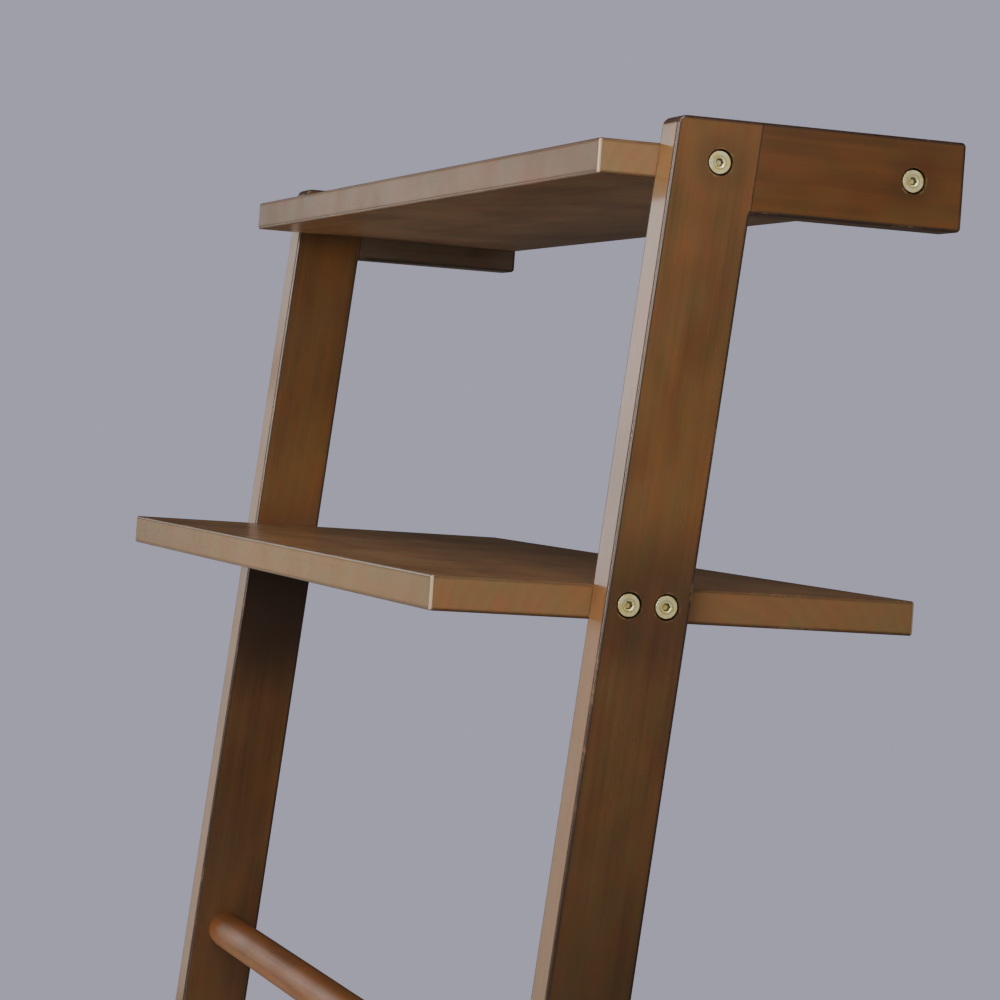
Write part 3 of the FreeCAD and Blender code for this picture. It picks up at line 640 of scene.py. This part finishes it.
def plated_steel(name, axis, outer_face, seed):
    """Yellow plating over turned steel, about an axis along X that comes out at outer_face."""
    material, tree, shader = new_material(name)
    spot = tree.nodes.new("ShaderNodeTexCoord").outputs["Object"]
    place = own_place(tree, spot, axis, Matrix.Identity(3))
    radius = work_out_vector(tree, "LENGTH", work_out_vector(tree, "MULTIPLY", place, (0.0, 1.0, 1.0)))
    parts = add_node(tree, "SeparateXYZ", None, {0: spot}).outputs
    depth = work_out(tree, "ABSOLUTE", work_out(tree, "SUBTRACT", parts[0], outer_face))

    step = add_node(tree, "CombineXYZ", None, {0: seed, 1: seed}).outputs[0]
    shifted = work_out_vector(tree, "ADD", place, step)
    tarnish = spread(tree, cloud(tree, shifted, (230.0, 230.0, 230.0), 3.0, 0.6), 0.36, 0.66)
    turning = work_out(tree, "SINE", work_out(tree, "MULTIPLY", radius, TURNING_MARKS))
    wobble = cloud(tree, shifted, (900.0, 900.0, 900.0), 2.0)
    turning = work_out(tree, "MULTIPLY", turning, spread(tree, wobble, 0.35, 0.65, 0.3, 1.0))
    colour = lay_over(tree, tarnish, PLATING_PALE, PLATING_YELLOW)
    ring_tone = spread(tree, turning, -1.0, 1.0, 0.0, 0.22)
    colour = lay_over(tree, ring_tone, colour, PLATING_YELLOW)
    # A darker ring about the socket, painted shade.
    socket_ring_shade = work_out(
        tree,
        "MULTIPLY",
        spread(tree, radius, SOCKET_RADIUS, SOCKET_RADIUS + DISH_RISE),
        spread(tree, radius, SOCKET_RADIUS + DISH_END, SOCKET_RADIUS + DISH_FADE),
    )
    colour = lay_over(tree, work_out(tree, "MULTIPLY", socket_ring_shade, 0.55), colour, PLATING_RING_SHADE)
    # A pale ring just inside the head's edge, a painted highlight, with painted shade at the edge itself.
    head_rim_highlight = spread(tree, radius, HEAD_RADIUS - RIM_WIDTH, HEAD_RADIUS)
    colour = lay_over(tree, work_out(tree, "MULTIPLY", head_rim_highlight, 0.35), colour, PLATING_PALE)
    shaded = spread(tree, radius, HEAD_RADIUS - RIM_SHADE, HEAD_RADIUS - RIM_SHADE_FULL, 0.0, 0.8)
    colour = lay_over(tree, shaded, colour, PLATING_SHADE)
    # The socket is painted dark, painted shade in the recess, save for a pale spot on its floor, a painted
    # highlight.
    socket_shade = work_out(tree, "MULTIPLY", spread(tree, depth, SOCKET_SHADE_DEPTH, SOCKET_SHADE_FULL), 0.90)
    socket_floor_highlight = work_out(
        tree,
        "MULTIPLY",
        spread(tree, depth, SOCKET_FLOOR, SOCKET_FLOOR_FULL),
        spread(tree, radius, FLOOR_SPOT_RADIUS, FLOOR_SPOT_FULL),
    )
    socket_shade = work_out(tree, "MULTIPLY", socket_shade, work_out(tree, "SUBTRACT", 1.0, socket_floor_highlight))
    colour = lay_over(tree, socket_shade, colour, PLATING_SHADE)
    tree.links.new(colour, shader.inputs["Base Color"])

    rough = work_out(tree, "MULTIPLY_ADD", tarnish, 0.12, 0.30)
    rough = work_out(tree, "MULTIPLY_ADD", socket_shade, 0.25, rough)
    tree.links.new(rough, shader.inputs["Roughness"])
    tree.links.new(spread(tree, socket_shade, 0.0, 1.0, 0.55, 0.40), shader.inputs["Metallic"])
    height = work_out(tree, "MULTIPLY_ADD", wobble, 0.4, turning)
    bump = add_node(tree, "Bump", None, {"Height": height, "Strength": 0.5, "Distance": PLATING_RELIEF})
    tree.links.new(bump.outputs["Normal"], shader.inputs["Normal"])
    return material


bolts = [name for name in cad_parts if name.endswith("_bolt")]
for number, name in enumerate(sorted(bolts)):
    low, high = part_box(name)
    middle = (low + high) / 2
    outer_face = high.x if middle.x > 0 else low.x
    dress(name, plated_steel(f"{name}_steel", Vector((0, middle.y, middle.z)), outer_face, 0.37 * number))

# ---------------------------------------------------------------------------------------------
# Inserts. Sixteen threaded sleeves of grey cast zinc, screwed into the ends of boards and rungs
# for the bolts to take hold in. They are hidden inside the wood.
# ---------------------------------------------------------------------------------------------
ZINC_BRIGHT = (0.46, 0.46, 0.47, 1)
ZINC_DULL = (0.30, 0.29, 0.28, 1)
zinc, tree, shader = new_material("cast_zinc")
spot = tree.nodes.new("ShaderNodeTexCoord").outputs["Object"]
grains = cloud(tree, spot, (700.0, 700.0, 700.0), 3.0, 0.65)
dull = spread(tree, cloud(tree, spot, (120.0, 120.0, 120.0), 2.0), 0.35, 0.65)
zinc_colour = lay_over(tree, dull, ZINC_BRIGHT, ZINC_DULL)
tree.links.new(zinc_colour, shader.inputs["Base Color"])
tree.links.new(spread(tree, grains, 0.3, 0.7, 0.42, 0.62), shader.inputs["Roughness"])
shader.inputs["Metallic"].default_value = 0.9
bump = add_node(tree, "Bump", None, {"Height": grains, "Strength": 0.5, "Distance": 0.00005})
tree.links.new(bump.outputs["Normal"], shader.inputs["Normal"])
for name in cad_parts:
    if name.endswith("_insert"):
        dress(name, zinc)

# ---------------------------------------------------------------------------------------------
# Foot pads. Two thin pads of black moulded rubber, stuck under the stiles so that the feet don't
# slide. The rubber is a little dusty.
# ---------------------------------------------------------------------------------------------
RUBBER_BLACK = (0.016, 0.016, 0.017, 1)
RUBBER_DUST = (0.11, 0.10, 0.09, 1)
rubber, tree, shader = new_material("black_rubber")
spot = tree.nodes.new("ShaderNodeTexCoord").outputs["Object"]
pebbles = cloud(tree, spot, (1600.0, 1600.0, 1600.0), 2.0)
dusty = spread(tree, cloud(tree, spot, (110.0, 110.0, 110.0), 4.0, 0.65), 0.45, 0.75)
rubber_colour = lay_over(tree, work_out(tree, "MULTIPLY", dusty, 0.35), RUBBER_BLACK, RUBBER_DUST)
tree.links.new(rubber_colour, shader.inputs["Base Color"])
tree.links.new(spread(tree, dusty, 0.0, 1.0, 0.62, 0.88), shader.inputs["Roughness"])
bump = add_node(tree, "Bump", None, {"Height": pebbles, "Strength": 0.6, "Distance": 0.0001})
tree.links.new(bump.outputs["Normal"], shader.inputs["Normal"])
for side in ("left", "right"):
    dress(f"{side}_foot_pad", rubber)

# ---------------------------------------------------------------------------------------------
# The studio. A pale matt floor that thins out to nothing well away from the shelf, a plain grey
# backdrop, and soft panels: windows on the left, lamps in front and on the right, pale walls to
# the right and behind, and washes over the floor.
# ---------------------------------------------------------------------------------------------
FLOOR_RADIUS = 6.0
FLOOR_SOLID_RADIUS = 1.6
FLOOR_GONE_RADIUS = 5.6
FLOOR_GREY = (0.66, 0.655, 0.66, 1)
FLOOR_PALE = (0.70, 0.695, 0.70, 1)
BACKDROP = (0.390, 0.386, 0.482, 1)
ROOM_LIGHT = (1.0, 0.96, 0.90, 1)
ROOM_LIGHT_POWER = 0.220
MIRRORED_ROOM = (1.0, 0.95, 0.88, 1)
MIRRORED_ROOM_POWER = 0.043
floor_shape = bmesh.new()
bmesh.ops.create_circle(floor_shape, cap_ends=True, segments=128, radius=FLOOR_RADIUS)
floor_mesh = bpy.data.meshes.new("floor")
floor_shape.to_mesh(floor_mesh)
floor_shape.free()
floor = bpy.data.objects.new("floor", floor_mesh)
bpy.context.scene.collection.objects.link(floor)

pale = bpy.data.materials.new("pale_floor")
pale.use_nodes = True
tree = pale.node_tree
tree.nodes.clear()
output = tree.nodes.new("ShaderNodeOutputMaterial")
spot = tree.nodes.new("ShaderNodeTexCoord").outputs["Object"]
thin = spread(tree, work_out_vector(tree, "LENGTH", spot), FLOOR_SOLID_RADIUS, FLOOR_GONE_RADIUS)
mottle = spread(tree, cloud(tree, spot, (3.0, 3.0, 3.0), 4.0), 0.3, 0.7)
floor_colour = lay_over(tree, mottle, FLOOR_GREY, FLOOR_PALE)
matt = add_node(tree, "BsdfDiffuse", None, {"Color": floor_colour})
clear = tree.nodes.new("ShaderNodeBsdfTransparent")
mixed = add_node(tree, "MixShader", None, {0: thin, 1: matt.outputs[0], 2: clear.outputs[0]})
tree.links.new(mixed.outputs[0], output.inputs["Surface"])
floor_mesh.materials.append(pale)

world = bpy.data.worlds.new("studio")
bpy.context.scene.world = world
world.use_nodes = True
tree = world.node_tree
tree.nodes.clear()
output = tree.nodes.new("ShaderNodeOutputWorld")
seen = add_node(tree, "Background", None, {"Color": BACKDROP, "Strength": 1.0}).outputs[0]
lit = {"Color": ROOM_LIGHT, "Strength": ROOM_LIGHT_POWER}
lit = add_node(tree, "Background", None, lit).outputs[0]
mirrored = {"Color": MIRRORED_ROOM, "Strength": MIRRORED_ROOM_POWER}
mirrored = add_node(tree, "Background", None, mirrored).outputs[0]
ray = tree.nodes.new("ShaderNodeLightPath").outputs
unseen = add_node(tree, "MixShader", None, {0: ray["Is Glossy Ray"], 1: lit, 2: mirrored}).outputs[0]
both = add_node(tree, "MixShader", None, {0: ray["Is Camera Ray"], 1: unseen, 2: seen})
tree.links.new(both.outputs[0], output.inputs["Surface"])

low, high = cad_box
LIT_DROP = 0.25
lit_point = Vector((0.0, 0.0, high.z - LIT_DROP))


def soft_panel(name, offset, width, height, power, colour, opening, lift, toward=Vector()):
    """A soft panel of light, with its offset measured from lit_point near the top of the shelf.

    It faces lit_point, or the place that toward gives from there, raised by lift.
    """
    data = bpy.data.lights.new(name, "AREA")
    data.shape = "RECTANGLE"
    data.size = width
    data.size_y = height
    data.energy = power
    data.color = colour
    data.spread = opening
    panel = bpy.data.objects.new(name, data)
    bpy.context.scene.collection.objects.link(panel)
    panel.location = lit_point + Vector(offset)
    panel.rotation_mode = "QUATERNION"
    panel.rotation_quaternion = (Vector(offset) - Vector((0, 0, lift)) - toward).to_track_quat("Z", "Y")
    panel.visible_camera = False
    return panel


WINDOW_WHITE = (0.99, 0.98, 0.955)
SKY_WHITE = (0.88, 0.98, 1.10)
LAMP_WHITE = (1.0, 0.96, 0.90)
WIDE = radians(180)
NARROW = radians(64)
soft_panel("left_window_high", (-2.80, -1.02, 0.75), 1.3, 0.9, 4.0, WINDOW_WHITE, WIDE, 0.0)
soft_panel("left_window_low", (-2.80, -1.02, -0.20), 1.3, 0.9, 3.2, WINDOW_WHITE, WIDE, 0.0)
soft_panel("left_window_gap", (-2.80, -1.10, 0.40), 0.5, 0.7, 2.5, SKY_WHITE, WIDE, 0.0)
soft_panel("front_key", (0.45, -1.25, 0.35), 0.6, 0.6, 3.1, LAMP_WHITE, NARROW, 0.15)
soft_panel("right_key", (1.25, -0.45, 0.35), 0.6, 0.6, 1.2, LAMP_WHITE, NARROW, 0.15)
soft_panel("right_high", (0.95, -0.35, 1.25), 0.8, 0.8, 2.6, LAMP_WHITE, NARROW * 1.08, 0.10)
soft_panel("right_wall_high", (2.40, 0.95, 0.90), 1.6, 1.0, 1.7, LAMP_WHITE, WIDE, 0.0)
soft_panel("right_wall_low", (2.40, 0.95, -0.50), 1.6, 1.0, 0.7, LAMP_WHITE, WIDE, 0.0)
lower_stile = Vector((0.38, 0.0, -1.05))
soft_panel("right_low", (2.0, -0.5, -0.85), 0.7, 0.7, 2.0, LAMP_WHITE, NARROW * 0.75, 0.0, lower_stile)
among_rungs = Vector((0, 0, -0.4))
soft_panel("back_wall", (0.2, 2.6, 0.20), 2.4, 1.6, 3.0, LAMP_WHITE, WIDE, 0.0, among_rungs)
for number, (across, away) in enumerate(((1.9, -1.6), (-1.9, -1.6), (1.9, 1.9), (-1.9, 1.9))):
    above_floor = (across, away, -0.75)
    on_floor = Vector((across, away, -1.45))
    name = f"floor_wash_{number}"
    soft_panel(name, above_floor, 1.6, 1.6, 3.0, LAMP_WHITE, WIDE, 0.0, on_floor)
soft_panel("floor_bounce", (-0.70, -1.30, -1.42), 1.2, 1.2, 15.3, LAMP_WHITE, NARROW * 1.43, 0.0)

# ---------------------------------------------------------------------------------------------
# The camera. A long lens to the right of the shelf and in front of it, a little below the top
# board, looking almost level and turned a little about its own axis.
# ---------------------------------------------------------------------------------------------
CAMERA_TURN = radians(72.132)
CAMERA_TILT = radians(-0.906)
CAMERA_ROLL = radians(3.945)
CAMERA_LENS = 122.95
CAMERA_RIGHT = 1.97124
CAMERA_BEFORE = 0.74947
CAMERA_BELOW_TOP = 0.1704
camera_data = bpy.data.cameras.new("camera")
camera_data.sensor_width = 36.0
camera_data.lens = CAMERA_LENS
camera = bpy.data.objects.new("camera", camera_data)
bpy.context.scene.collection.objects.link(camera)
bpy.context.scene.camera = camera
level_ahead = Vector((-sin(CAMERA_TURN), cos(CAMERA_TURN), 0))
ahead = level_ahead * cos(CAMERA_TILT) + Vector((0, 0, sin(CAMERA_TILT)))
right = Vector((cos(CAMERA_TURN), sin(CAMERA_TURN), 0))
up = right.cross(ahead)
rolled_right = right * cos(CAMERA_ROLL) + up * sin(CAMERA_ROLL)
rolled_up = up * cos(CAMERA_ROLL) - right * sin(CAMERA_ROLL)
axes = Matrix((rolled_right, rolled_up, -ahead)).transposed()
stand = Vector((CAMERA_RIGHT, high.y - CAMERA_BEFORE, high.z - CAMERA_BELOW_TOP))
camera.matrix_world = Matrix.Translation(stand) @ axes.to_4x4()
